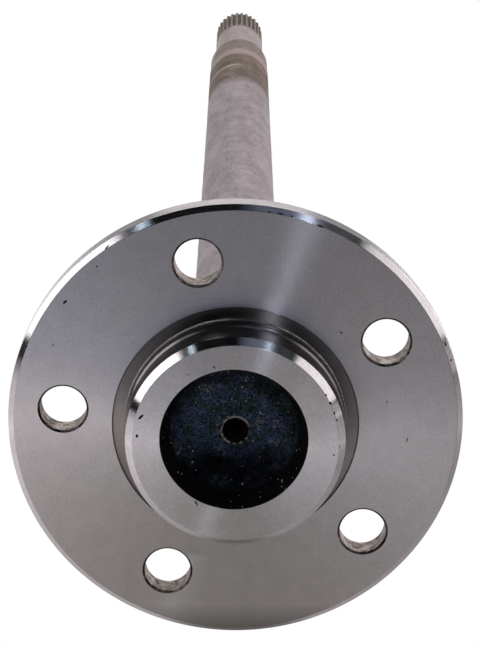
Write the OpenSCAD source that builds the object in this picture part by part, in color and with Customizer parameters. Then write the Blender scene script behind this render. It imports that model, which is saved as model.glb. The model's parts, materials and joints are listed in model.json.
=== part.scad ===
// Semi-floating axle shaft: wheel flange, pilot boss, bearing journal, forged body and splined inner end.
// Millimetres. The axis lies along Y. The wheel face of the flange is at Y = 0, the boss points to -Y.

/* [Wheel flange] */
// Outside diameter of the flange
flange_d = 167.2; // [160:0.1:190]
// Thickness of the flange at its rim
flange_t = 10.3; // [7:0.1:16]
// Chamfer round the front of the rim, measured across the face
rim_chamfer_w = 2; // [0.5:0.1:4]
// Chamfer round the front of the rim, measured along the axis
rim_chamfer_t = 1.6; // [0.5:0.1:3]
// Radius on the back edge of the rim
rim_back_r = 1.5; // [0.5:0.1:3]

/* [Wheel bolts] */
// Diameter of the bolt circle
bolt_circle_d = 127; // [120:0.1:133]
// Number of bolt holes
bolt_count = 5; // [4:1:6]
// Diameter of a bolt hole
bolt_hole_d = 17.2; // [12:0.1:20]
// Countersink at both mouths of a bolt hole
bolt_hole_chamfer = 0.8; // [0.2:0.1:1.5]
// Turn of the first hole from straight up, anticlockwise as the wheel sees it
bolt_turn = 12.3; // [0:0.1:72]

/* [Pilot boss] */
// Diameter of the boss that centres the wheel
boss_d = 79.6; // [70:0.1:86]
// Height of the boss over the wheel face
boss_h = 19.5; // [17:0.1:30]
// Chamfer on the boss edge
boss_chamfer = 2.5; // [0.5:0.1:4]
// Length of the drum pilot, the wider rear part of the boss, over the wheel face
drum_pilot_len = 5.5; // [3:0.1:8]
// Step from the front of the boss out to the drum pilot, with its 45 degree lead-in
drum_pilot_step = 0.7; // [0.3:0.1:1]
// Outside diameter of the turned relief round the foot of the boss
relief_d = 90.8; // [88:0.1:94]
// Depth of the relief below the wheel face
relief_depth = 0.6; // [0.2:0.1:1.5]
// Tool-nose radius left in the corner of the relief
relief_fillet = 0.6; // [0.2:0.1:1]

/* [Forged recess] */
// Diameter of the recess at its mouth
recess_mouth_d = 53.2; // [46:0.1:58]
// Diameter of the recess floor, before its corner is rounded
recess_floor_d = 43; // [36:0.1:45]
// Depth of the recess
recess_depth = 14.3; // [8:0.1:16]
// Radius between the wall and the floor of the recess
recess_corner_r = 4; // [1:0.1:5]
// Shift of the forging die to the right, as the wheel sees it
recess_shift_x = -0.5; // [-1.5:0.1:1.5]
// Shift of the forging die upwards
recess_shift_z = 1.5; // [-1.5:0.1:1.5]

/* [Lathe centres] */
// Diameter of a centre hole at its mouth
centre_d = 9.7; // [7:0.1:11]
// Diameter of the pilot drilling of a centre hole
centre_pilot_d = 4; // [2:0.1:5]
// Depth of the pilot drilling below the cone
centre_pilot_h = 5; // [2:0.1:8]
// Included angle of a lathe centre
centre_angle = 60; // [60:15:90]

/* [Hub and bearing journal] */
// Diameter of the hub behind the flange
hub_d = 62; // [54:0.1:76]
// Length of the hub behind the flange
hub_len = 18; // [15:0.1:30]
// Fillet between the flange and the hub
hub_fillet = 9; // [3:0.1:10]
// Radius on the outer edge of the hub
hub_edge_r = 3; // [1:0.1:4]
// Diameter of the bearing journal
journal_d = 39.7; // [38:0.1:42]
// Length of the bearing journal
journal_len = 121.7; // [80:0.1:160]
// Fillet between the hub and the journal
journal_fillet = 3; // [1:0.1:4]
// Length of the taper from the journal to the body
taper_len = 18; // [8:0.1:40]

/* [Shaft body] */
// Diameter of the forged body
body_d = 36.5; // [35:0.1:37.8]
// Length of the forged body
body_len = 459; // [200:1:700]
// Diameter of the turned land before the shoulder
land_d = 36; // [34:0.1:37]
// Length of the turned land
land_len = 32.5; // [15:0.1:60]
// Chamfer on the edge of the shoulder
land_chamfer = 0.8; // [0.2:0.1:1]

/* [Splined end] */
// Diameter of the plain neck between the shoulder and the spline
neck_d = 30.1; // [29.6:0.1:30.6]
// Length of the plain neck
neck_len = 64.5; // [20:0.1:90]
// Fillet between the shoulder and the neck
neck_fillet = 1.5; // [0.5:0.1:1.7]
// Number of spline teeth
spline_teeth = 28; // [28:1:30]
// Module of the spline
spline_module = 1.0583; // [1.05:0.0001:1.08]
// Pressure angle of the spline
spline_pressure_angle = 30; // [25:0.5:37.5]
// Length of the spline with its run-out
spline_len = 47; // [30:0.1:70]
// Diameter of the hob that cuts the spline, which sets the run-out
hob_d = 70; // [40:1:100]
// Chamfer on the end of the shaft
end_chamfer = 1.5; // [1.3:0.1:2.5]

/* [Hidden] */
$fn = 96;

// how far a cutter reaches past the face that it opens
over = 1;
flange_r = flange_d/2;
boss_r = boss_d/2;
drum_pilot_r = boss_r + drum_pilot_step;
relief_r = relief_d/2;
hub_r = hub_d/2;
journal_r = journal_d/2;
body_r = body_d/2;
land_r = land_d/2;
neck_r = neck_d/2;

// places along the axis, from the wheel face towards the spline
hub_end = flange_t + hub_len;
journal_end = hub_end + journal_len;
taper_end = journal_end + taper_len;
body_end = taper_end + body_len;
shoulder = body_end + land_len;
neck_end = shoulder + neck_len;
shaft_end = neck_end + spline_len;
recess_floor = recess_depth - boss_h;

// flat-root side-fit spline: tip, root, and the straight flank that stands for the involute
spline_pitch_r = spline_teeth*spline_module/2;
spline_tip_r = (spline_teeth + 1)*spline_module/2;
spline_root_r = (spline_teeth - 1.35)*spline_module/2;
space_half_angle = 90/spline_teeth;
flank_angle = spline_pressure_angle + space_half_angle;
hob_r = hob_d/2;
hob_h = spline_tip_r - spline_root_r + 0.3;
runout_len = sqrt(pow(hob_r, 2) - pow(hob_r - (spline_tip_r - spline_root_r), 2));
full_depth_start = neck_end + runout_len;

// half width of a tooth space at height y over the shaft axis
function space_half(y) = spline_pitch_r*sin(space_half_angle)
    + (y - spline_pitch_r*cos(space_half_angle))*tan(flank_angle);

// corner of side r that a fillet fills, at p, opening towards the quadrant sx, sy
module corner_fillet(p, r, sx, sy) {
    translate(p) difference() {
        translate([sx < 0 ? -r : 0, sy < 0 ? -r : 0]) square(r);
        translate([sx*r, sy*r]) circle(r);
    }
}

// half section of the boss and flange, radius along X and distance behind the wheel face along Y
module flange_section() {
    difference() {
        union() {
            polygon([[0, -boss_h], [boss_r - boss_chamfer, -boss_h], [boss_r, boss_chamfer - boss_h],
                [boss_r, -drum_pilot_len - drum_pilot_step], [drum_pilot_r, -drum_pilot_len],
                [drum_pilot_r, flange_t], [0, flange_t]]);
            polygon([[0, 0], [flange_r - rim_chamfer_w, 0], [flange_r, rim_chamfer_t], [flange_r, flange_t],
                [0, flange_t]]);
        }
        translate([drum_pilot_r, -over]) square([relief_r - drum_pilot_r, over + relief_depth]);
        corner_fillet([flange_r, flange_t], rim_back_r, -1, -1);
    }
    corner_fillet([drum_pilot_r, relief_depth], relief_fillet, 1, -1);
}

// half section of everything behind the flange
module shaft_section() {
    difference() {
        translate([0, flange_t/2]) square([hub_r, hub_end - flange_t/2]);
        corner_fillet([hub_r, hub_end], hub_edge_r, -1, -1);
    }
    corner_fillet([hub_r, flange_t], hub_fillet, 1, 1);
    corner_fillet([journal_r, hub_end], journal_fillet, 1, 1);
    polygon([[0, flange_t], [journal_r, flange_t], [journal_r, journal_end], [body_r, taper_end],
        [body_r, body_end], [land_r, body_end + body_r - land_r], [land_r, shoulder - land_chamfer],
        [land_r - land_chamfer, shoulder], [neck_r, shoulder], [neck_r, neck_end],
        [spline_tip_r, neck_end + spline_tip_r - neck_r], [spline_tip_r, shaft_end - end_chamfer],
        [spline_tip_r - end_chamfer, shaft_end], [0, shaft_end]]);
    corner_fillet([neck_r, shoulder], neck_fillet, 1, 1);
}

// bolt hole with a small countersink at each mouth
module bolt_hole() {
    translate([0, 0, -over]) cylinder(d = bolt_hole_d, h = flange_t + 2*over);
    for (mouth = [0, 1])
        translate([0, 0, mouth*flange_t]) mirror([0, 0, mouth]) translate([0, 0, -over])
            cylinder(d1 = bolt_hole_d + 2*(bolt_hole_chamfer + over), d2 = bolt_hole_d - 0.01,
                h = bolt_hole_chamfer + over + 0.005);
}

// blind drafted recess with a rounded foot, its mouth on the boss face
module forged_recess() {
    mouth_r = recess_mouth_d/2;
    floor_r = recess_floor_d/2;
    wall_angle = atan2(recess_depth, mouth_r - floor_r);
    reach = recess_corner_r/tan((180 - wall_angle)/2);
    mouth_flare = (mouth_r - floor_r)/recess_depth;
    mirror([0, 0, 1]) rotate_extrude() {
        polygon([[0, 0], [floor_r - reach, 0], [floor_r + reach*cos(wall_angle), reach*sin(wall_angle)],
            [mouth_r + over*mouth_flare, recess_depth + over], [0, recess_depth + over]]);
        translate([floor_r - reach, recess_corner_r]) circle(recess_corner_r);
    }
}

// lathe centre: cone to the stated mouth, pilot drilling and drill point
module centre_hole() {
    cone_h = (centre_d - centre_pilot_d)/2/tan(centre_angle/2);
    flare = over*tan(centre_angle/2);
    rotate_extrude() polygon([[0, -over], [centre_d/2 + flare, -over], [centre_pilot_d/2, cone_h],
        [centre_pilot_d/2, cone_h + centre_pilot_h], [0, cone_h + centre_pilot_h + centre_pilot_d*0.3]]);
}

// one tooth space, straight to the end of the shaft and lifting out on the hob's arc towards the neck
module spline_space() {
    foot = space_half(spline_root_r);
    top = space_half(spline_root_r + hob_h);
    lift = acos((hob_r - hob_h)/hob_r) + 4;
    translate([0, 0, full_depth_start]) linear_extrude(shaft_end + over - full_depth_start)
        polygon([[-foot, spline_root_r], [foot, spline_root_r], [top, spline_root_r + hob_h],
            [-top, spline_root_r + hob_h]]);
    translate([0, spline_root_r + hob_r, full_depth_start]) rotate([0, 90, 0]) rotate([0, 0, 268])
        rotate_extrude(angle = lift + 2)
            polygon([[hob_r, -foot], [hob_r, foot], [hob_r - hob_h, top], [hob_r - hob_h, -top]]);
}

// the one forged and turned piece
module axle_shaft() {
    color([0.6, 0.6, 0.61]) rotate([-90, 0, 0]) difference() {
        rotate_extrude() {
            flange_section();
            shaft_section();
        }
        for (k = [0:bolt_count - 1])
            rotate([0, 0, -90 - bolt_turn + k*360/bolt_count]) translate([bolt_circle_d/2, 0, 0]) bolt_hole();
        translate([recess_shift_x, -recess_shift_z, recess_floor]) forged_recess();
        translate([0, 0, recess_floor]) centre_hole();
        translate([0, 0, shaft_end]) mirror([0, 0, 1]) centre_hole();
        for (k = [0:spline_teeth - 1]) rotate([0, 0, k*360/spline_teeth]) spline_space();
    }
}

axle_shaft();
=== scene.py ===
import bmesh
import bpy
import json
import math
from mathutils import Euler, Matrix, Vector, noise


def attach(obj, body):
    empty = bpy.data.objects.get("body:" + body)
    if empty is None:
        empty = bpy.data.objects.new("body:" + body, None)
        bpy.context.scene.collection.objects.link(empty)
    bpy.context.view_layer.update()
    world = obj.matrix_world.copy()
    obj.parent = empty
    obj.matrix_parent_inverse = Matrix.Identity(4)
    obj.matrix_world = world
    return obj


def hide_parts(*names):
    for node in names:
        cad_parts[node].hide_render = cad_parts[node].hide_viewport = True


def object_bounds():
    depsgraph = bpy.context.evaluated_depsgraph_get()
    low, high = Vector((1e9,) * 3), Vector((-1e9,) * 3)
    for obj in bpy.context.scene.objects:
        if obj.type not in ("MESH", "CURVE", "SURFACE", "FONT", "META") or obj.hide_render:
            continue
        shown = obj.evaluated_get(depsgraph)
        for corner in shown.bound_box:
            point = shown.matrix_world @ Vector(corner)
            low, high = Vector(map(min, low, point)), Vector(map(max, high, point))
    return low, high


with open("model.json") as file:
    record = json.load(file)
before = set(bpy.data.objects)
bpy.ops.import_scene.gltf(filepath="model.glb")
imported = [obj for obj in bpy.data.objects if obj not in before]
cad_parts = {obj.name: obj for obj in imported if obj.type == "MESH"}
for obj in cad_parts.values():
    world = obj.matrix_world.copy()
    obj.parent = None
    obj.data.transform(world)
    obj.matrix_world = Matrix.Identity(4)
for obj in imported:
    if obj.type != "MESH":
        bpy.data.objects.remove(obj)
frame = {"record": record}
cadLow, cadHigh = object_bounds()
mm = 0.001
dims = {mount["name"]: mount["dims"] for mount in frame["record"]["mounts"]}
print("frame loaded")


def linear(hexColour):  # sRGB hex to the linear colour that a socket takes
    channels = [int(hexColour[i:i + 2], 16) / 255 for i in (1, 3, 5)]
    lin = [c / 12.92 if c <= 0.04045 else ((c + 0.055) / 1.055) ** 2.4 for c in channels]
    return (*lin, 1.0)


def addNode(tree, kind, settings=None):  # settings name a property, or an input with its value or link
    node = tree.nodes.new(kind)
    for key, value in (settings or {}).items():
        if isinstance(key, str) and key in node.bl_rna.properties:
            setattr(node, key, value)
        elif isinstance(value, bpy.types.NodeSocket):
            tree.links.new(value, node.inputs[key])
        else:
            node.inputs[key].default_value = value
    return node


def mathNode(tree, operation, *values, clamp=False):
    settings = {"operation": operation, "use_clamp": clamp, **dict(enumerate(values))}
    return addNode(tree, "ShaderNodeMath", settings).outputs[0]


def rangeNode(tree, value, start, stop, low=0.0, high=1.0):
    settings = {"Value": value, "From Min": start, "From Max": stop, "To Min": low, "To Max": high}
    return addNode(tree, "ShaderNodeMapRange", settings).outputs[0]


def noiseNode(tree, vector, size, detail, roughness=0.5):  # size of the largest grains in mm
    settings = {"Vector": vector, "Scale": 1 / (size * mm), "Detail": detail, "Roughness": roughness}
    return addNode(tree, "ShaderNodeTexNoise", settings).outputs[0]


def mixNode(tree, share, first, second, blend="MIX"):
    settings = {"data_type": "RGBA", "blend_type": blend, 0: share, 6: first, 7: second}
    return addNode(tree, "ShaderNodeMix", settings).outputs[2]


def bumpNode(tree, height, strength, depth, normal=None):  # depth in mm
    settings = {"Height": height, "Strength": strength, "Distance": depth * mm}
    if normal:
        settings["Normal"] = normal
    return addNode(tree, "ShaderNodeBump", settings).outputs[0]


def speckNode(tree, place, cell, share, size):  # spots in a share of the cells; cell in mm, size in cells
    cells = addNode(tree, "ShaderNodeTexVoronoi", {"Vector": place, "Scale": 1 / (cell * mm)}).outputs
    kind = addNode(tree, "ShaderNodeSeparateColor", {0: cells["Color"]}).outputs[0]
    reach = rangeNode(tree, kind, 1 - share, 1.0, 0.0, size)
    return mathNode(tree, "LESS_THAN", cells["Distance"], reach)


def rampNode(tree, value, stops):  # stops pair a place along the ramp with a hex colour
    node = addNode(tree, "ShaderNodeValToRGB", {"Fac": value})
    ramp = node.color_ramp
    while len(ramp.elements) < len(stops):
        ramp.elements.new(0.5)
    for k in reversed(range(len(stops))):  # from the far end, so the stops never pass each other
        ramp.elements[k].position = stops[k][0]
        ramp.elements[k].color = linear(stops[k][1])
    return node.outputs[0]


def curveNode(tree, value, points):  # points pair an input with an output, with straight lines between
    node = addNode(tree, "ShaderNodeFloatCurve", {"Value": value})
    curve = node.mapping.curves[0]
    while len(curve.points) < len(points):
        curve.points.new(0.5, 0.5)
    for k in range(len(points)):
        curve.points[k].location = points[k]
        curve.points[k].handle_type = "VECTOR"
    node.mapping.update()
    return node.outputs[0]


def objectPlace(tree):  # the place on the piece, and its x, y and z
    place = addNode(tree, "ShaderNodeTexCoord").outputs["Object"]
    return place, addNode(tree, "ShaderNodeSeparateXYZ", {0: place}).outputs


def lengthNode(tree, vector):
    return addNode(tree, "ShaderNodeVectorMath", {"operation": "LENGTH", 0: vector}).outputs["Value"]


def headingNode(tree, vector):  # x, y and z of its direction
    toward = addNode(tree, "ShaderNodeVectorMath", {"operation": "NORMALIZE", 0: vector}).outputs[0]
    return addNode(tree, "ShaderNodeSeparateXYZ", {0: toward}).outputs


def newMaterial(name):
    material = bpy.data.materials.new(name)
    material.use_nodes = True
    material.node_tree.nodes.clear()
    return material, material.node_tree


def setSurface(tree, settings):
    surface = addNode(tree, "ShaderNodeBsdfPrincipled", settings)
    addNode(tree, "ShaderNodeOutputMaterial", {"Surface": surface.outputs[0]})


def linkObject(name, data):
    thing = bpy.data.objects.new(name, data)
    bpy.context.scene.collection.objects.link(thing)
    return thing


# sizes of the shaft in mm; stations run along Y from the wheel face, minus towards the wheel
shaft = {
    "flangeR": cadHigh.x / mm,
    "flangeT": 10.3,
    "rimChamfer": (2.0, 1.6),  # across the face, along the axis
    "rimBackR": 1.5,
    "bossR": dims["wheel_pilot"]["r_mm"],
    "bossH": -cadLow.y / mm,
    "bossChamfer": 2.5,
    "drumPilotR": dims["drum_pilot"]["r_mm"],
    "drumPilotH": dims["drum_pilot"]["length_mm"],
    "reliefR": 45.4,
    "reliefDepth": 0.6,
    "reliefFillet": 0.6,
    "reliefNose": 0.58,  # left by the nose of the tool
    "recessMouthR": 26.6,
    "recessMouthEdge": 0.3,
    "recessFloorR": 21.5,
    "recessDepth": 14.3,
    "recessCornerR": 4.0,
    "recessShift": (-0.5, 1.5),  # the forging die sat off centre
    "centreR": 4.85,
    "centreHalfAngle": 30.0,
    "centreEdge": 0.25,
    "centrePilotR": 2.0,
    "centrePilotH": 5.0,
    "drillPoint": 0.6,  # height of the drill's point, in radii
    "burrWidth": 0.7,  # thrown up by the centre drill
    "burrHeight": 0.2,
    "hubR": 31.0,
    "hubLength": 18.0,
    "hubFillet": 9.0,
    "hubEdgeR": 3.0,
    "journalR": dims["bearing_journal"]["r_mm"],
    "journalFillet": 3.0,
    "groundEnd": 120.0,  # the grinder stops short of the taper
    "journalEnd": 150.0,
    "taperEnd": 168.0,
    "taperStartR": 2.0,
    "taperEndR": 4.0,
    "bodyR": 18.25,
    "bodyEnd": 627.0,
    "landR": 18.0,
    "landChamfer": 0.8,
    "shoulder": 659.5,
    "neckR": 15.05,
    "neckFillet": 1.5,
    "neckEnd": 724.0,
    "shaftEnd": cadHigh.y / mm,
    "endChamfer": 1.5,
    "edgeBreak": 0.2,  # every turned edge is broken a little
}
lumps = {  # unevenness of the forging, in mm
    "size": 5.0,
    "depth": 0.8,
    "along": 0.5,  # how much it is drawn out along the bar
    "peak": 0.8,  # noise over this is cut off, so no lump stands out of the true shape
    "fractal": (0.8, 2.0, 4),  # how fast finer lumps fade, how much finer each size is, how many sizes
}
meshing = {
    "around": {"plain": 168, "fine": 504, "hole": 96},  # points on one ring
    "arcStep": 12.0,  # degrees
    "guard": 0.25,  # mm from a rounding to the ring beside it
    "crease": 22.0,  # degrees between two faces that makes an edge
}
spline = {
    "teeth": 28,
    "module": 1.0583,
    "pressureAngle": 30.0,
    "addendum": 1.0,  # in modules, both sides together
    "dedendum": 1.35,
    "hobR": 35.0,
    "past": (0.3, 1.0),  # mm that the cutter reaches over the tips and past the end
    "liftPast": 3.0,  # degrees
    "arcSteps": 14,
}
spline["tipR"] = (spline["teeth"] + spline["addendum"]) * spline["module"] / 2
spline["rootR"] = (spline["teeth"] - spline["dedendum"]) * spline["module"] / 2

boltHoles = {
    "count": dims["wheel_bolts"]["count"],
    "circleR": dims["wheel_bolts"]["pcd_mm"] / 2,
    "r": dims["wheel_bolts"]["hole_r_mm"],
    "chamfer": 0.8,
    "turn": -12.3,  # degrees, clockwise from straight up as the wheel sees it
    "past": 1.0,  # mm that the cutter reaches past both faces
}

turnedSteel = {  # what the turned finishes share unless they say otherwise; sizes in mm
    "feed": 0.5,  # the tool's step, drawn coarser than the real 0.15 mm
    "marks": 0.03,  # how much the feed lines differ in tone
    "brushed": 1.0,  # how far a light is drawn out across the feed lines
    "stain": 0.08,  # how dark the smudges are
    "smudge": 7.0,
    "grain": 0.8,
    "specks": 0.0,  # share of the cells that hold one
    "speckCell": 5.5,
    "speckSize": 0.075,  # in cells
    "speckColour": "#2b2826",
    "chatter": 0,  # waves in one turn
    "chatterDepth": 0.05,
    "lowEdgeDarkening": 0.5,  # how much darker the steel gets towards its lower edge
    "lowEdgeColour": "#3a3630",
    "rust": 2.5,
    "rustColour": "#574d43",
    # painted shade on the front chamfer of a bore, mottled like a dried film
    "chamferShadeEdge": 0.2,
    "chamferShadeFilm": 7.0,
    "chamferShadeColour": "#1c1613",
}
turnedFinishes = {
    "face": {"name": "faced steel", "colour": "#d5cfd0", "roughness": 0.23, "depth": 0.004,
             "specks": 0.25, "lowEdgeFrom": -72.0, "lowEdgeTo": -81.0},
    # lighter than the face: a finer finish, and partly painted light
    "bossFace": {"name": "fine faced steel with painted light", "colour": "#eae5e8", "roughness": 0.29, "depth": 0.0015,
                 "feed": 0.4, "marks": 0.0, "brushed": 0.96, "specks": 0.2},
    # darker than the face: partly its own finish, partly painted shade at the boss foot
    "relief": {"name": "steel faced in a groove with painted shade", "colour": "#a59e9a", "roughness": 0.3, "depth": 0.006,
               "specks": 0.1},
    "edge": {"name": "turned steel", "colour": "#d1cdd1", "roughness": 0.19, "depth": 0.0012,
             "specks": 0.25},
    # much darker than the face: painted shade on the boss's side walls
    "wall": {"name": "rough turned steel with painted shade", "colour": "#7c7777", "roughness": 0.3, "depth": 0.01,
             "brushed": 0.6},
    "foot": {"name": "turned steel with tool chatter", "colour": "#a8a5a5", "roughness": 0.26,
             "depth": 0.004, "chatter": 480},
    "journal": {"name": "ground steel", "colour": "#cacacf", "roughness": 0.22, "depth": 0.002, "feed": 0.3},
    # the bore's front chamfer is darkened with painted shade
    "bore": {"name": "drilled steel", "colour": "#cfc8c3", "roughness": 0.55, "depth": 0.03, "feed": 0.6,
             "brushed": 0.0, "stain": 0.5, "specks": 0.5, "chamferShadeTo": boltHoles["chamfer"]},
}


def turnedSteelMaterial(finish):
    # low-carbon steel cut in a lathe: fine rings round the axis draw a light out to a spoke across them
    p = {**turnedSteel, **finish}
    material, tree = newMaterial(p["name"])
    place, axes = objectPlace(tree)
    flat = addNode(tree, "ShaderNodeCombineXYZ", {0: axes[0], 2: axes[2]}).outputs[0]
    heading = headingNode(tree, flat)
    along = mathNode(tree, "ADD", lengthNode(tree, flat), axes[1])
    line = mathNode(tree, "MULTIPLY", along, 1 / (p["feed"] * mm))
    lineSpace = addNode(tree, "ShaderNodeCombineXYZ", {0: line, 1: heading[0], 2: heading[2]}).outputs[0]
    rings = addNode(tree, "ShaderNodeTexNoise", {"Vector": lineSpace, "Scale": 1.0, "Detail": 2.0,
                                                 "Roughness": 0.6}).outputs[0]  # one cell per feed line
    ringTone = rangeNode(tree, rings, 0.25, 0.75, 1 - p["marks"], 1 + p["marks"])
    smudge = noiseNode(tree, place, p["smudge"], 6.0, 0.72)
    smudgeTone = rangeNode(tree, smudge, 0.3, 0.62, 1 - p["stain"], 1.02)
    grain = noiseNode(tree, place, p["grain"], 2.0, 0.6)
    grainTone = rangeNode(tree, grain, 0.3, 0.7, 0.92, 1.08)
    shade = mathNode(tree, "MULTIPLY", smudgeTone, ringTone)
    shade = mathNode(tree, "MULTIPLY", shade, grainTone)
    colour = mixNode(tree, 1.0, linear(p["colour"]), shade, "MULTIPLY")
    speck = speckNode(tree, place, p["speckCell"], p["specks"], p["speckSize"])
    colour = mixNode(tree, speck, colour, linear(p["speckColour"]))
    if "lowEdgeFrom" in p:  # darker towards the lower edge
        oiled = rangeNode(tree, axes[2], p["lowEdgeFrom"] * mm, p["lowEdgeTo"] * mm, 0.0, p["lowEdgeDarkening"])
        colour = mixNode(tree, oiled, colour, linear(p["lowEdgeColour"]))
    if "chamferShadeTo" in p:  # rust all over, and painted shade on the front chamfer, mottled like a dried film
        rust = noiseNode(tree, place, p["rust"], 5.0, 0.7)
        brown = rangeNode(tree, rust, 0.4, 0.6, 0.2, 0.95)
        colour = mixNode(tree, brown, colour, linear(p["rustColour"]))
        unshaded, full = [(p["chamferShadeTo"] + fade) * mm for fade in (p["chamferShadeEdge"], -p["chamferShadeEdge"])]
        edge = rangeNode(tree, axes[1], unshaded, full)
        film = noiseNode(tree, place, p["chamferShadeFilm"], 4.0, 0.7)
        thick = rangeNode(tree, film, 0.42, 0.58, 0.35, 0.97)
        colour = mixNode(tree, mathNode(tree, "MULTIPLY", edge, thick), colour, linear(p["chamferShadeColour"]))
    spread = p["marks"] / 2
    gloss = rangeNode(tree, rings, 0.25, 0.75, p["roughness"] - spread, p["roughness"] + spread)
    bump = bumpNode(tree, rings, 0.5, p["depth"])
    if p["chatter"]:
        angle = mathNode(tree, "ARCTAN2", axes[0], axes[2])
        wave = mathNode(tree, "SINE", mathNode(tree, "MULTIPLY", angle, p["chatter"]))
        bump = bumpNode(tree, wave, 0.6, p["chatterDepth"], bump)
    tangent = addNode(tree, "ShaderNodeTangent", {"direction_type": "RADIAL", "axis": "Y"}).outputs[0]
    setSurface(tree, {"Metallic": 1.0, "Anisotropic": p["brushed"], "Anisotropic Rotation": 0.25,
                      "Base Color": colour, "Roughness": gloss, "Normal": bump, "Tangent": tangent})
    return material


forgeScale = {  # mm from the shaft's origin
    "floorS": shaft["recessDepth"] - shaft["bossH"],
    "wallShade": (1.0, 5.0),  # heights over the floor between which the wall goes all dark with painted shade
    "floorShade": (17.0, 22.5),  # radii between which the floor goes dark with painted shade
    "lowShade": (-3.0, -12.0),  # and heights, towards the lower edge
    "paintedShade": (0.7, 0.9),  # how dark the painted shade gets on the floor, outwards and downwards
    "crust": 0.8,
    "pits": 0.6,
    "clouds": 6.0,
    "temper": [(0.36, "#2f3a3c"), (0.47, "#3f4f53"), (0.54, "#3c4868"), (0.64, "#65646a")],
    # near black: the colour of the painted shade in the recess
    "shadeColour": "#040404",
    # the bright specks are painted glints on the scale
    "speckCell": 1.3,
    "specks": 0.22,  # share of the cells that hold one
    "speckSize": 0.25,  # in cells
    "speckColour": "#e3dacb",
}


def forgingScaleMaterial():
    # iron oxide left by the forge: black and pitted with a blue and green sheen, with painted shade on the
    # wall, the floor's rim and its lower part, and bright specks that are painted glints
    p = forgeScale
    material, tree = newMaterial("forging scale")
    place, axes = objectPlace(tree)
    flat = addNode(tree, "ShaderNodeCombineXYZ", {0: axes[0], 2: axes[2]}).outputs[0]
    crust = noiseNode(tree, place, p["crust"], 6.0, 0.8)
    clouds = noiseNode(tree, place, p["clouds"], 5.0, 0.6)
    temper = rampNode(tree, clouds, p["temper"])
    # painted shade: the wall, the floor's rim and its lower part go near black where the recess lies in
    # shade
    wallLow, wallHigh = [(p["floorS"] - height) * mm for height in p["wallShade"]]
    onWall = rangeNode(tree, axes[1], wallLow, wallHigh)
    inner, outer = [radius * mm for radius in p["floorShade"]]
    outside = rangeNode(tree, lengthNode(tree, flat), inner, outer, 0.0, p["paintedShade"][0])
    upper, lower = [height * mm for height in p["lowShade"]]
    below = rangeNode(tree, axes[2], upper, lower, 0.0, p["paintedShade"][1])
    paintedShade = mathNode(tree, "MAXIMUM", outside, below)
    cloudy = rangeNode(tree, clouds, 0.35, 0.65, 0.2, -0.2)
    patchy = mathNode(tree, "ADD", paintedShade, cloudy, clamp=True)
    patchy = mathNode(tree, "MAXIMUM", patchy, onWall)
    depth = rangeNode(tree, crust, 0.42, 0.62, 0.0, 2.8)
    oxide = mixNode(tree, 1.0, temper, depth, "MULTIPLY")
    shaded = mixNode(tree, patchy, oxide, linear(p["shadeColour"]))
    # painted glints: bright specks scattered over the scale
    speck = speckNode(tree, place, p["speckCell"], p["specks"], p["speckSize"])
    colour = mixNode(tree, speck, shaded, linear(p["speckColour"]))
    gloss = rangeNode(tree, crust, 0.0, 1.0, 0.4, 0.8)
    bump = bumpNode(tree, crust, 1.0, p["pits"])
    setSurface(tree, {"Metallic": 0.0, "Specular IOR Level": 0.12,
                      "Base Color": colour, "Roughness": gloss, "Normal": bump})
    return material


forgedSkin = {  # sizes in mm
    "grain": 1.8,
    "grainDepth": 0.25,
    "patches": 8.0,
    "hoops": 9.0,
    "drawn": (1, 0.35, 1),  # marks are drawn out along the bar
    "rolled": (0.12, 1, 0.12),  # the rolls left faint hoops round it
    "tone": [(0.39, "#847d7f"), (0.5, "#9c9397"), (0.61, "#b0a6ab")],
    "turnedColour": "#c4b3ab",  # past the stain, where it was turned clean
}
heatStain = {  # mm along the shaft
    "start": 533.0,
    "fadeIn": (-6.0, 9.0),
    "ragged": 34.0,
    "end": 611.0,
    "fadeOut": (-2.0, 3.0),
    "scuff": 577.0,
    "scuffWidth": 4.0,
    "scuffSide": (4.0, -4.0),  # it lies on the left, x in mm
    "scuffWear": 0.65,
    "scuffColour": "#cabdb1",
    "tone": [(0.4, "#52473e"), (0.5, "#6d5f55"), (0.6, "#86786d")],
}


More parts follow.
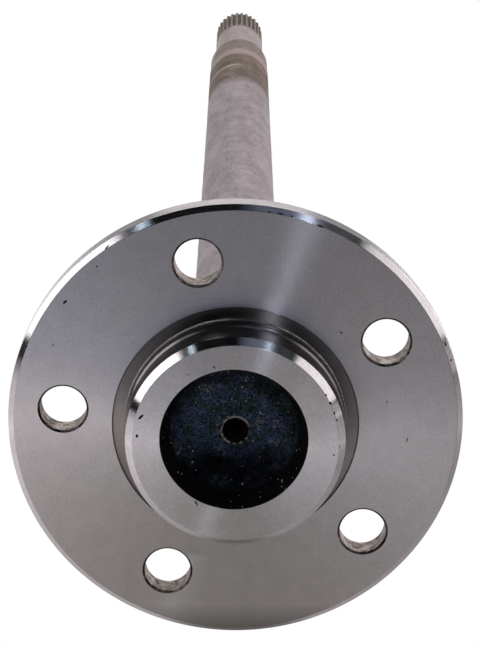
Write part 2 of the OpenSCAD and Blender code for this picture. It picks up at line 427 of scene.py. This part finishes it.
def forgedSkinMaterial():
    # shot-blasted forging skin: dull pinkish grey and grainy, with a brown band where the end was hardened
    p = forgedSkin
    heat = heatStain
    material, tree = newMaterial("blasted forging skin")
    place, axes = objectPlace(tree)
    drawn = addNode(tree, "ShaderNodeMapping", {"Vector": place, "Scale": p["drawn"]}).outputs[0]
    rolled = addNode(tree, "ShaderNodeMapping", {"Vector": place, "Scale": p["rolled"]}).outputs[0]
    grain = noiseNode(tree, drawn, p["grain"], 4.0, 0.8)
    patches = noiseNode(tree, drawn, p["patches"], 5.0, 0.55)
    hoops = noiseNode(tree, rolled, p["hoops"], 2.0)
    blotch = addNode(tree, "ShaderNodeMix", {0: 0.55, 2: patches, 3: grain}).outputs[0]
    mottle = addNode(tree, "ShaderNodeMix", {0: 0.15, 2: blotch, 3: hoops}).outputs[0]
    tone = rampNode(tree, mottle, p["tone"])
    brown = rampNode(tree, mottle, heat["tone"])
    ragged = mathNode(tree, "MULTIPLY_ADD", patches, heat["ragged"] * mm, axes[1])
    start, full = [(heat["start"] + heat["ragged"] / 2 + fade) * mm for fade in heat["fadeIn"]]
    stained = mixNode(tree, rangeNode(tree, ragged, start, full), tone, brown)
    offLine = mathNode(tree, "ABSOLUTE", mathNode(tree, "SUBTRACT", axes[1], heat["scuff"] * mm))
    line = rangeNode(tree, offLine, heat["scuffWidth"] * mm, 0.0)
    right, left = [x * mm for x in heat["scuffSide"]]
    onLeft = rangeNode(tree, axes[0], right, left, 0.0, heat["scuffWear"])
    rubbed = mathNode(tree, "MULTIPLY", line, onLeft)
    scuffed = mixNode(tree, rubbed, stained, linear(heat["scuffColour"]))
    turned = mixNode(tree, 0.5, linear(p["turnedColour"]), tone, "MULTIPLY")
    start, full = [(heat["end"] + fade) * mm for fade in heat["fadeOut"]]
    colour = mixNode(tree, rangeNode(tree, axes[1], start, full), scuffed, turned)
    gloss = rangeNode(tree, grain, 0.0, 1.0, 0.5, 0.75)
    bump = bumpNode(tree, grain, 0.6, p["grainDepth"])
    setSurface(tree, {"Metallic": 0.15, "Specular IOR Level": 0.4,
                      "Base Color": colour, "Roughness": gloss, "Normal": bump})
    return material


dullSteel = {  # what the dull finishes share unless they say otherwise
    "rings": (0.15, 1, 0.15),  # the tool's rings run round the bar
    "ringDepth": 0.03,  # mm
    "ramp": (0.58, 0.9),  # where the low colour ends and the high one starts
}
dullFinishes = {  # feed and film are the sizes of the tool's rings and of the stains, in mm
    "land": {"name": "stained turned steel", "low": "#6f625c", "high": "#9b8c86", "feed": 1.2, "film": 5.0},
    "neck": {"name": "oiled turned steel", "low": "#9c8f8e", "high": "#bcb0af", "feed": 1.0, "film": 5.0},
    "tooth": {"name": "hobbed steel", "low": "#7c736d", "high": "#9d938e", "feed": 1.6, "film": 3.0},
    # the tooth spaces are darker than the teeth: painted shade
    "space": {"name": "hobbed steel with painted shade", "low": "#554b42", "high": "#7b7066",
              "feed": 1.6, "film": 3.0},
    "burr": {"name": "torn steel burr", "low": "#060505", "high": "#b4ab9f", "feed": 1.6, "film": 1.3,
             "ramp": (0.7, 0.82)},
    "nick": {"name": "blackened steel", "low": "#0d0b0a", "high": "#2b2622", "feed": 0.6, "film": 1.0},
}


def dullSteelMaterial(finish):
    # machined steel under a thin film of oil and oxide: faint feed rings, a soft half-matt gleam
    p = {**dullSteel, **finish}
    material, tree = newMaterial(p["name"])
    place = addNode(tree, "ShaderNodeTexCoord").outputs["Object"]
    rings = addNode(tree, "ShaderNodeMapping", {"Vector": place, "Scale": p["rings"]}).outputs[0]
    feed = noiseNode(tree, rings, p["feed"], 3.0)
    film = noiseNode(tree, place, p["film"], 5.0, 0.65)
    mixed = mathNode(tree, "MULTIPLY_ADD", feed, 0.5, film)
    colour = rampNode(tree, mixed, [(p["ramp"][0], p["low"]), (p["ramp"][1], p["high"])])
    gloss = rangeNode(tree, film, 0.0, 1.0, 0.38, 0.62)
    bump = bumpNode(tree, feed, 0.4, p["ringDepth"])
    setSurface(tree, {"Metallic": 0.4, "Specular IOR Level": 0.4,
                      "Base Color": colour, "Roughness": gloss, "Normal": bump})
    return material


finishes = {key: turnedSteelMaterial(finish) for key, finish in turnedFinishes.items()}
finishes.update({key: dullSteelMaterial(finish) for key, finish in dullFinishes.items()})
finishes["scale"] = forgingScaleMaterial()
finishes["skin"] = forgedSkinMaterial()
finishOrder = list(finishes)
flatFinishes = ("face", "bossFace", "edge", "relief", "wall")  # their shading stays flat up to the edge
print("materials made")


def corner(r, s, fillet=0.0, finish="edge", step=0.0, rough=0.0, roughRun=0.0, shift=0.0, around="plain"):
    # finish, step and roughRun belong to the stretch that ends at this corner
    return {"r": r, "s": s, "fillet": fillet, "finish": finish, "step": step, "rough": rough,
            "roughRun": roughRun, "shift": shift, "around": meshing["around"][around]}


def cornerArc(before, here, after):
    place = Vector((here["r"], here["s"]))
    back = Vector((before["r"], before["s"])) - place
    ahead = Vector((after["r"], after["s"])) - place
    half = back.angle(ahead) / 2
    rooms = [side.length * (0.49 if beside["fillet"] else 0.99)  # two fillets share what is between them
             for side, beside in ((back, before), (ahead, after))]
    reach = min(here["fillet"] / math.tan(half), *rooms)
    radius = reach * math.tan(half)
    middle = place + (back.normalized() + ahead.normalized()).normalized() * (radius / math.sin(half))
    first = place + back.normalized() * reach - middle
    last = place + ahead.normalized() * reach - middle
    sweep = first.angle_signed(last)
    count = max(2, math.ceil(abs(sweep) / math.radians(meshing["arcStep"])))
    return [middle + Matrix.Rotation(-sweep * k / count, 2) @ first for k in range(count + 1)]


def roundedOutline(corners):
    arcs = []
    for i, here in enumerate(corners):
        if here["fillet"] > 0:
            arcs.append(cornerArc(corners[i - 1], here, corners[i + 1]))
        else:
            arcs.append([Vector((here["r"], here["s"]))])
    rings = []

    def addBetween(i, share, changes):
        point = arcs[i - 1][-1].lerp(arcs[i][0], share)
        shift = corners[i - 1]["shift"] * (1 - share) + corners[i]["shift"] * share
        rings.append({**corners[i], "r": point.x, "s": point.y, "shift": shift, **changes})

    for i, here in enumerate(corners):
        length = (arcs[i][0] - arcs[i - 1][-1]).length
        if i and here["step"]:
            steps = max(1, round(length / here["step"]))
            for k in range(1, steps):
                share = k / steps
                fade = min(1.0, 4 * share, 4 * (1 - share))  # roughness dies out at the ends of a stretch
                addBetween(i, share, {"rough": here["roughRun"] * fade})
        elif i and here["finish"] in flatFinishes:  # a ring close to each rounding keeps the rest flat
            margin = meshing["guard"] / length
            around = {"around": min(here["around"], corners[i - 1]["around"])}
            if len(arcs[i - 1]) > 1:
                addBetween(i, margin, around)
            if len(arcs[i]) > 1:
                addBetween(i, 1 - margin, around)
        rings += [{**here, "r": point.x, "s": point.y} for point in arcs[i]]
    return rings


def latheMesh(name, rings, shift=(0, 0)):
    mesh = bpy.data.meshes.new(name)
    build = bmesh.new()
    loops = []
    roughness = {}
    for ring in rings:
        count = 1 if ring["r"] < 1e-6 else ring["around"]
        loop = []
        for k in range(count):
            turn = 2 * math.pi * k / count
            x = ring["r"] * math.sin(turn) + ring["shift"] * shift[0]
            z = ring["r"] * math.cos(turn) + ring["shift"] * shift[1]
            vert = build.verts.new((x * mm, ring["s"] * mm, z * mm))
            if ring["rough"]:
                roughness[vert] = ring["rough"]
            loop.append(vert)
        loops.append(loop)
    for ring, low, high in zip(rings[1:], loops[:-1], loops[1:]):
        coarse, fine = (low, high) if len(low) <= len(high) else (high, low)
        ratio = len(fine) // len(coarse)
        if len(coarse) == 1:
            cells = [[coarse[0], fine[k], fine[(k + 1) % len(fine)]] for k in range(len(fine))]
        else:
            cells = [[coarse[k], coarse[(k + 1) % len(coarse)],
                      *[fine[(k * ratio + j) % len(fine)] for j in range(ratio, -1, -1)]]
                     for k in range(len(coarse))]
        for cell in cells:
            build.faces.new(cell).material_index = finishOrder.index(ring["finish"])
    bmesh.ops.recalc_face_normals(build, faces=build.faces)
    build.normal_update()
    for vert, rough in roughness.items():  # die and scale left lumps, made inwards so that the box holds
        spot = Vector((vert.co.x, vert.co.y * lumps["along"], vert.co.z)) / (lumps["size"] * mm)
        sink = (min(noise.fractal(spot, *lumps["fractal"]), lumps["peak"]) - lumps["peak"]) / 2
        vert.co += vert.normal * (sink * rough * lumps["depth"] * mm)
    build.to_mesh(mesh)
    build.free()
    for finish in finishOrder:
        mesh.materials.append(finishes[finish])
    return mesh


def shaftOutline():  # from the bottom of the front centre hole over every surface to the rear one
    p = shaft
    bit = p["edgeBreak"]
    front = -p["bossH"]
    floor = front + p["recessDepth"]
    coneH = (p["centreR"] - p["centrePilotR"]) / math.tan(math.radians(p["centreHalfAngle"]))
    pilotFoot = coneH + p["centrePilotH"]
    drillTip = p["drillPoint"] * p["centrePilotR"]
    burrH = p["burrHeight"]
    mouth = p["recessMouthR"]
    lip = mouth + 1.5  # outside this ring the boss is meshed finely
    step = p["drumPilotR"] - p["bossR"]
    backFine = p["flangeR"] - 4  # inside this ring the back is meshed plainly
    hubEnd = p["flangeT"] + p["hubLength"]
    tip = spline["tipR"]
    end = p["shaftEnd"]
    return roundedOutline([
        corner(0, floor + pilotFoot + drillTip, finish="nick"),
        corner(p["centrePilotR"], floor + pilotFoot, finish="nick"),
        corner(p["centrePilotR"], floor + coneH, finish="nick"),
        corner(p["centreR"] - burrH / 2, floor + burrH, finish="nick"),
        corner(p["centreR"], floor - burrH, finish="burr"),
        corner(p["centreR"] + p["burrWidth"], floor, finish="burr"),
        corner(p["recessFloorR"], floor, p["recessCornerR"], "scale",
               step=0.9, rough=1.0, roughRun=1.0, shift=1.0),
        corner(mouth, front, p["recessMouthEdge"], "scale", step=0.8, roughRun=1.0, shift=1.0),
        corner(lip, front, 0, "bossFace", shift=0.9),
        corner(lip + 1, front, 0, "bossFace", shift=0.8, around="fine"),
        corner(p["bossR"] - p["bossChamfer"], front, bit, "bossFace", around="fine"),
        corner(p["bossR"], front + p["bossChamfer"], bit, "edge", around="fine"),
        corner(p["bossR"], -p["drumPilotH"] - step, 0, "wall", around="fine"),
        corner(p["drumPilotR"] - bit / 2, -p["drumPilotH"] - bit / 2, 0, "wall", around="fine"),
        corner(p["drumPilotR"], -p["drumPilotH"] + bit, 0, "edge", around="fine"),
        corner(p["drumPilotR"], p["reliefDepth"] - p["reliefFillet"], 0, "wall", around="fine"),
        corner(p["drumPilotR"], p["reliefDepth"], p["reliefFillet"], "foot", around="fine"),
        corner(p["reliefR"], p["reliefDepth"], p["reliefNose"], "relief", around="fine"),
        corner(p["reliefR"], 0, 0, "relief", around="fine"),
        corner(p["flangeR"] - p["rimChamfer"][0], 0, bit, "face", around="fine"),
        corner(p["flangeR"], p["rimChamfer"][1], bit, "edge", around="fine"),
        corner(p["flangeR"], p["flangeT"], p["rimBackR"], "edge", around="fine"),
        corner(backFine, p["flangeT"], 0, "skin", around="fine"),
        corner(backFine - 1, p["flangeT"], 0, "skin"),
        corner(p["hubR"], p["flangeT"], p["hubFillet"], "skin", step=1.5, rough=0.6, roughRun=0.6),
        corner(p["hubR"], hubEnd, p["hubEdgeR"], "skin", step=1.5, roughRun=0.6),
        corner(p["journalR"], hubEnd, p["journalFillet"], "journal"),
        corner(p["journalR"], p["groundEnd"], 0, "journal"),
        corner(p["journalR"], p["journalEnd"], p["taperStartR"], "skin",
               step=2.0, rough=0.25, roughRun=0.25),
        corner(p["bodyR"], p["taperEnd"], p["taperEndR"], "skin", step=2.0, rough=0.3, roughRun=0.3),
        corner(p["bodyR"], p["bodyEnd"], 0, "skin", step=3.0, roughRun=0.35),
        corner(p["landR"], p["bodyEnd"] + p["bodyR"] - p["landR"], 0, "land"),
        corner(p["landR"], p["shoulder"] - p["landChamfer"], bit, "land"),
        corner(p["landR"] - p["landChamfer"], p["shoulder"], bit, "land"),
        corner(p["neckR"], p["shoulder"], p["neckFillet"], "neck"),
        corner(p["neckR"], p["neckEnd"], 0, "neck"),
        corner(tip, p["neckEnd"] + tip - p["neckR"], 0, "tooth"),
        corner(tip, end - p["endChamfer"], bit, "tooth"),
        corner(tip - p["endChamfer"], end, bit, "tooth"),
        corner(p["centreR"], end, p["centreEdge"], "neck"),
        corner(p["centrePilotR"], end - coneH, 0, "bore"),
        corner(p["centrePilotR"], end - pilotFoot, 0, "bore"),
        corner(0, end - pilotFoot - drillTip, 0, "bore"),
    ])


def roundAxisTree():  # copies one cutter round the shaft axis
    tree = bpy.data.node_groups.new("roundAxis", "GeometryNodeTree")
    tree.interface.new_socket("Geometry", in_out="INPUT", socket_type="NodeSocketGeometry")
    inputs = {"Count": "NodeSocketInt", "Turn": "NodeSocketFloat", "Finish": "NodeSocketMaterial"}
    identifiers = {label: tree.interface.new_socket(label, in_out="INPUT", socket_type=kind).identifier
                   for label, kind in inputs.items()}
    tree.interface.new_socket("Geometry", in_out="OUTPUT", socket_type="NodeSocketGeometry")
    given = addNode(tree, "NodeGroupInput").outputs
    points = addNode(tree, "GeometryNodePoints", {"Count": given["Count"]}).outputs[0]
    index = addNode(tree, "GeometryNodeInputIndex").outputs[0]
    pitch = mathNode(tree, "DIVIDE", 2 * math.pi, given["Count"])
    angle = mathNode(tree, "MULTIPLY_ADD", index, pitch, given["Turn"])
    turn = addNode(tree, "ShaderNodeCombineXYZ", {1: angle}).outputs[0]
    copies = addNode(tree, "GeometryNodeInstanceOnPoints",
                     {"Points": points, "Instance": given["Geometry"], "Rotation": turn}).outputs[0]
    real = addNode(tree, "GeometryNodeRealizeInstances", {0: copies}).outputs[0]
    painted = addNode(tree, "GeometryNodeSetMaterial", {"Geometry": real, "Material": given["Finish"]})
    addNode(tree, "NodeGroupOutput", {0: painted.outputs[0]})
    return tree, identifiers


def bakeModifiers(thing):  # the evaluated shape becomes the piece's own plain mesh
    bpy.context.view_layer.update()
    depsgraph = bpy.context.evaluated_depsgraph_get()
    mesh = bpy.data.meshes.new_from_object(thing.evaluated_get(depsgraph), depsgraph=depsgraph)
    thing.modifiers.clear()
    old = thing.data
    thing.data = mesh
    bpy.data.meshes.remove(old)


def copyRoundAxis(thing, count, turn, finish):
    modifier = thing.modifiers.new("roundAxis", "NODES")
    modifier.node_group, identifiers = roundAxisTree()
    modifier[identifiers["Count"]] = count
    modifier[identifiers["Turn"]] = math.radians(turn)
    modifier[identifiers["Finish"]] = finishes[finish]
    bakeModifiers(thing)


def cutWith(piece, cutter, label):
    modifier = piece.modifiers.new(label, "BOOLEAN")
    modifier.operation = "DIFFERENCE"
    modifier.solver = "EXACT"
    modifier.material_mode = "TRANSFER"
    modifier.object = cutter
    bakeModifiers(piece)
    mesh = cutter.data
    bpy.data.objects.remove(cutter)
    bpy.data.meshes.remove(mesh)
    print(label, "cut", len(piece.data.polygons), "faces")


def boltHoleCutter():
    p = boltHoles
    back = shaft["flangeT"]
    wide = p["r"] + p["chamfer"] + p["past"]
    outline = [(0, -p["past"]), (wide, -p["past"]), (p["r"], p["chamfer"]),
               (p["r"], back - p["chamfer"]), (wide, back + p["past"]), (0, back + p["past"])]
    corners = [corner(r, s, finish="bore", around="hole") for r, s in outline]
    mesh = latheMesh("boltHole", roundedOutline(corners))
    mesh.transform(Matrix.Translation((0, 0, p["circleR"] * mm)))
    holes = linkObject("boltHole", mesh)
    copyRoundAxis(holes, p["count"], p["turn"], "bore")
    return holes


def toothSpaceCutter():
    p = spline
    overTip, overEnd = p["past"]
    pitchR = p["teeth"] * p["module"] / 2
    halfAngle = math.radians(90 / p["teeth"])
    flank = math.tan(math.radians(p["pressureAngle"]) + halfAngle)
    depth = p["tipR"] - p["rootR"]
    height = depth + overTip

    def halfWidth(z):
        return pitchR * math.sin(halfAngle) + (z - pitchR * math.cos(halfAngle)) * flank

    foot = halfWidth(p["rootR"])
    top = halfWidth(p["rootR"] + height)
    runout = math.sqrt(p["hobR"] ** 2 - (p["hobR"] - depth) ** 2)
    fullStart = shaft["neckEnd"] + runout
    lift = math.acos((p["hobR"] - height) / p["hobR"]) + math.radians(p["liftPast"])
    sections = []
    for k in range(p["arcSteps"] + 1):  # the hob's arc, from high over the neck down to full depth
        angle = lift * (1 - k / p["arcSteps"])
        sections.append([(w, fullStart - d * math.sin(angle), p["rootR"] + p["hobR"] - d * math.cos(angle))
                         for w, d in ((-foot, p["hobR"]), (foot, p["hobR"]),
                                      (top, p["hobR"] - height), (-top, p["hobR"] - height))])
    sections.append([(w, shaft["shaftEnd"] + overEnd, z) for w, z in
                     ((-foot, p["rootR"]), (foot, p["rootR"]),
                      (top, p["rootR"] + height), (-top, p["rootR"] + height))])
    build = bmesh.new()
    loops = [[build.verts.new(Vector(point) * mm) for point in section] for section in sections]
    for low, high in zip(loops[:-1], loops[1:]):
        for k in range(4):
            build.faces.new([low[k], low[(k + 1) % 4], high[(k + 1) % 4], high[k]])
    build.faces.new(loops[0])
    build.faces.new(loops[-1])
    bmesh.ops.recalc_face_normals(build, faces=build.faces)
    mesh = bpy.data.meshes.new("toothSpace")
    build.to_mesh(mesh)
    build.free()
    spaces = linkObject("toothSpace", mesh)
    copyRoundAxis(spaces, p["teeth"], 0.0, "space")
    return spaces


# each nick's angle clockwise from the top in degrees, radius, station, half length, half width and depth
# in mm, and turn in its face in degrees
nicks = {
    "rim": [(8.5, 81.8, 0.2, 0.6, 0.3, 0.26, 0), (11.4, 81.8, 0.2, 1.1, 0.4, 0.32, 0),
            (14.3, 81.8, 0.2, 0.6, 0.3, 0.26, 0), (21.8, 81.6, 0.1, 1.4, 0.4, 0.34, 0),
            (-34.2, 81.9, 0.3, 1.6, 0.32, 0.36, -20), (-52.4, 77.6, 0.0, 1.0, 0.45, 0.36, 10),
            (67.8, 82.4, 0.6, 1.0, 0.4, 0.36, 0), (72.3, 82.4, 0.6, 0.6, 0.4, 0.36, 0)],
    "face": [(80.7, 56.2, 0.0, 0.5, 0.2, 0.15, 0), (95.2, 63.4, 0.0, 1.0, 0.2, 0.15, 0)],
    "boss": [(-72.9, 35.3, -19.5, 1.3, 0.47, 0.36, 30), (-85, 35.4, -19.5, 0.7, 0.5, 0.36, 0),
             (-14.4, 30.2, -19.5, 0.7, 0.27, 0.24, 60), (-148.3, 26.9, -19.5, 1.3, 0.27, 0.24, 30),
             (60, 37.4, -19.4, 0.49, 0.41, 0.36, 0), (65.3, 37.4, -19.4, 0.7, 0.47, 0.42, 0),
             (71.5, 37.4, -19.4, 0.63, 0.41, 0.36, 0), (75.9, 37.5, -19.4, 0.49, 0.41, 0.36, 0),
             (91.6, 37.6, -19.4, 0.42, 0.34, 0.3, 0), (96.7, 35.7, -19.5, 0.42, 0.27, 0.24, 0)],
}


def nickCutter():  # small dents knocked into edges and faces, each half of a flattened ball
    build = bmesh.new()
    for angle, radius, station, long, wide, deep, spin in sum(nicks.values(), []):
        matrix = (Matrix.Rotation(math.radians(angle), 4, "Y")
                  @ Matrix.Translation((0, station * mm, radius * mm))
                  @ Matrix.Rotation(math.radians(spin), 4, "Y")
                  @ Matrix.Diagonal((long * mm, deep * mm, wide * mm, 1)))
        bmesh.ops.create_icosphere(build, subdivisions=2, radius=1, matrix=matrix)
    mesh = bpy.data.meshes.new("nick")
    build.to_mesh(mesh)
    build.free()
    mesh.materials.append(finishes["nick"])
    return linkObject("nick", mesh)


def softShade(mesh):  # smooth all over, with a crease at edges and round each nick
    nick = mesh.materials.find(finishes["nick"].name)
    build = bmesh.new()
    build.from_mesh(mesh)
    for face in build.faces:
        face.smooth = True
    for edge in build.edges:
        finishesHere = {face.material_index for face in edge.link_faces}
        edge.smooth = (edge.is_manifold and edge.calc_face_angle(0) < math.radians(meshing["crease"])
                       and (len(finishesHere) == 1 or nick not in finishesHere))
    build.to_mesh(mesh)
    build.free()


axleShaft = linkObject("axleShaft", latheMesh("axleShaft", shaftOutline(), shaft["recessShift"]))
cutWith(axleShaft, boltHoleCutter(), "boltHoles")
cutWith(axleShaft, toothSpaceCutter(), "toothSpaces")
cutWith(axleShaft, nickCutter(), "nicks")
softShade(axleShaft.data)
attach(axleShaft, "root")
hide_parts("axle_shaft")
print("shaft made")

# the photo's camera, worked out from the hole circle and the shaft's sides
view = {
    "place": (2.86, -778.5, 291.0),  # mm
    "pitch": -17.94,
    "yaw": 0.12,
    "focalPixels": 2260.8,
    "framePixels": (480, 648),
    "centrePixels": (238.8, 324.2),
    "sensor": 36,  # mm
    "clip": (0.01, 100),  # metres
}


def makeCamera():
    width, height = view["framePixels"]
    data = bpy.data.cameras.new("camera")
    data.sensor_width = view["sensor"]
    data.lens = view["focalPixels"] / height * data.sensor_width
    data.shift_x = (width / 2 - view["centrePixels"][0]) / height
    data.shift_y = (view["centrePixels"][1] - height / 2) / height
    data.clip_start, data.clip_end = view["clip"]
    camera = linkObject("camera", data)
    camera.location = Vector(view["place"]) * mm
    camera.rotation_euler = Euler((math.radians(90 + view["pitch"]), 0, math.radians(view["yaw"])))
    bpy.context.scene.camera = camera


paper = {  # metres, from the point below the wheel face; x to the right, y away from the camera
    "z": -0.55,
    "side": 40.0,
    "colour": "#f2f2f2",
    "glow": 1.33,  # as the metal mirrors it, times what follows
    # by distance: dark below the shaft, which shades it, and lightest 1.5 m out
    "levels": ((0.07, 0.0), (0.115, 0.05), (0.15, 0.55), (0.2, 0.58), (0.3, 0.55), (0.6, 0.59),
               (1.0, 0.69), (1.25, 0.75), (1.5, 1.0), (1.8, 0.82), (2.2, 0.8), (4.0, 0.8)),
    "reach": 4.0,
    # across it from left to right, over twice this half width
    "halfWidth": 1.6,
    "sides": ((0.0, 0.78), (0.25, 1.0), (0.5, 0.7), (0.75, 0.46), (1.0, 0.48)),
    "corners": ((0.0, 0.37), (0.5, 0.0), (0.75, 0.75), (1.0, 0.55)),  # share of cutOff lost at the front
    "cutOff": 3.0,
    "end": (-3.2, -2.2),  # y where the paper fades out, behind the camera
    "pastEnd": 0.03,
    "dullX": (-6.0, -3.5),  # far out on the left it is duller
    "dullLevel": 0.8,
    "nearFar": (0.9, 2.0),
    "ahead": (-0.84, -0.97),  # y of a direction, from the edge to the whole of the strip ahead
    "middle": (-0.93, -0.99),  # and of its middle
    "aheadChange": (-0.52, -0.06),  # the strip is shaded, most of all near the shaft
    "hue": "#fff9fb",
    "nearHue": "#fff4d0",  # ahead, lamplight near the shaft and daylight far off
    "farHue": "#d6e2ff",
}


def makeFloor():
    # white paper: it shows pure white to the camera, and the metal mirrors its lit and shaded parts
    p = paper
    side = p["side"] / 2
    edges = [(-side, -side), (side, -side), (side, side), (-side, side)]
    mesh = bpy.data.meshes.new("floor")
    mesh.from_pydata([(x, y, p["z"]) for x, y in edges], [], [(0, 1, 2, 3)])
    material, tree = newMaterial("white paper sweep")
    rays = addNode(tree, "ShaderNodeLightPath").outputs
    axes = objectPlace(tree)[1]
    flat = addNode(tree, "ShaderNodeCombineXYZ", {0: axes[0], 1: axes[1]}).outputs[0]
    away = lengthNode(tree, flat)
    heading = headingNode(tree, flat)
    far = rangeNode(tree, away, *p["nearFar"])
    ahead = rangeNode(tree, heading[1], *p["ahead"])
    across = rangeNode(tree, axes[0], -p["halfWidth"], p["halfWidth"])
    level = mathNode(tree, "MULTIPLY", curveNode(tree, across, p["sides"]), p["glow"])
    levels = [(metres / p["reach"], share) for metres, share in p["levels"]]
    byDistance = curveNode(tree, mathNode(tree, "DIVIDE", away, p["reach"]), levels)
    change = rangeNode(tree, far, 0.0, 1.0, *p["aheadChange"])
    inFront = mathNode(tree, "MULTIPLY_ADD", change, ahead, 1.0)
    dull = rangeNode(tree, axes[0], *p["dullX"], p["dullLevel"], 1.0)
    corners = curveNode(tree, across, p["corners"])
    slant = mathNode(tree, "MULTIPLY_ADD", corners, -p["cutOff"], axes[1])
    toEnd = rangeNode(tree, slant, *p["end"], p["pastEnd"], 1.0)
    for part in (byDistance, inFront, dull, toEnd):
        level = mathNode(tree, "MULTIPLY", level, part)
    lamplit = mathNode(tree, "MULTIPLY", mathNode(tree, "SUBTRACT", 1.0, far), ahead)
    warm = mixNode(tree, lamplit, linear(p["hue"]), linear(p["nearHue"]))
    daylit = mathNode(tree, "MULTIPLY", far, rangeNode(tree, heading[1], *p["middle"]))
    hue = mixNode(tree, daylit, warm, linear(p["farHue"]))
    shown = mixNode(tree, rays["Is Camera Ray"], hue, (1, 1, 1, 1))
    strength = mathNode(tree, "MAXIMUM", level, rays["Is Camera Ray"])
    seen = mathNode(tree, "MAXIMUM", rays["Is Camera Ray"], rays["Is Glossy Ray"])
    seen = mathNode(tree, "MAXIMUM", seen, rays["Is Transmission Ray"])
    matt = addNode(tree, "ShaderNodeBsdfDiffuse", {"Color": linear(p["colour"])}).outputs[0]
    glow = addNode(tree, "ShaderNodeEmission", {"Color": shown, "Strength": strength}).outputs[0]
    mixed = addNode(tree, "ShaderNodeMixShader", {0: seen, 1: matt, 2: glow}).outputs[0]
    addNode(tree, "ShaderNodeOutputMaterial", {"Surface": mixed})
    mesh.materials.append(material)
    linkObject("floor", mesh)


# lamps round the flange: azimuth from the front and elevation in degrees, metres away, width and height
# in metres, radiance, colour
lamps = {
    "leftBox": (-78, 26, 1.3, (1.0, 0.95), 1.7, "#ffffff"),
    "rightBox": (78, 24, 1.3, (0.9, 0.85), 1.15, "#fffafa"),
    "window": (40, 66, 1.6, (0.75, 0.35), 0.28, "#cfe0ff"),
    "spotRight": (43, 56, 1.5, (0.12, 0.12), 1.9, "#d3eaf8"),
    "gleam": (20.9, 33.7, 1.5, (0.05, 0.05), 240.0, "#dfe9ff"),  # small and strong, draws the streak
    "lowRight": (80, 0, 1.3, (0.9, 0.2), 0.4, "#fffafa"),
    "spotLeft": (-55, 52, 1.5, (0.12, 0.12), 5.0, "#d3eaf8"),
    "rightFill": (50, 44, 1.5, (0.4, 0.3), 0.14, "#e4f2f4"),  # the two fills lighten the chamfers
    "leftFill": (-62, 43, 1.5, (0.5, 0.3), 0.3, "#ffffff"),
    "topBack": (180, 48, 1.7, (1.3, 0.8), 2.7, "#fff8f8"),
    "backRight": (125, 14, 1.6, (0.9, 0.9), 3.6, "#fff6fa"),
    "backLeft": (-125, 14, 1.6, (0.9, 0.9), 1.3, "#fffafa"),
}


def makeLamps():
    for name, (azimuth, elevation, reach, size, radiance, colour) in lamps.items():
        turn = math.radians(azimuth)
        rise = math.radians(elevation)
        away = Vector((math.sin(turn) * math.cos(rise), -math.cos(turn) * math.cos(rise), math.sin(rise)))
        data = bpy.data.lights.new(name, "AREA")
        data.shape = "RECTANGLE"
        data.size, data.size_y = size
        data.color = linear(colour)[:3]
        data.energy = 4 * radiance * data.size * data.size_y  # watts that give the lamp this radiance
        lamp = linkObject(name, data)
        lamp.location = away * reach
        lamp.rotation_euler = away.to_track_quat("Z", "Y").to_euler()
        lamp.visible_camera = False


room = {
    "dark": 0.005,
    "back": 0.42,
    "fade": (0.35, 0.85),  # y of a direction, between the dark front of the room and its lit back
}


def makeWorld():
    world = bpy.data.worlds.new("studio")
    world.use_nodes = True
    tree = world.node_tree
    tree.nodes.clear()
    rays = addNode(tree, "ShaderNodeLightPath").outputs
    place = addNode(tree, "ShaderNodeTexCoord").outputs["Generated"]
    axes = addNode(tree, "ShaderNodeSeparateXYZ", {0: place}).outputs
    level = rangeNode(tree, axes[1], *room["fade"], room["dark"], room["back"])
    level = mathNode(tree, "MAXIMUM", level, rays["Is Camera Ray"])
    light = addNode(tree, "ShaderNodeBackground", {"Color": (1, 1, 1, 1), "Strength": level}).outputs[0]
    addNode(tree, "ShaderNodeOutputWorld", {"Surface": light})
    bpy.context.scene.world = world


makeCamera()
makeFloor()
makeLamps()
makeWorld()
bpy.context.scene.view_settings.view_transform = "Standard"
print("studio made")

bpy.context.view_layer.update()
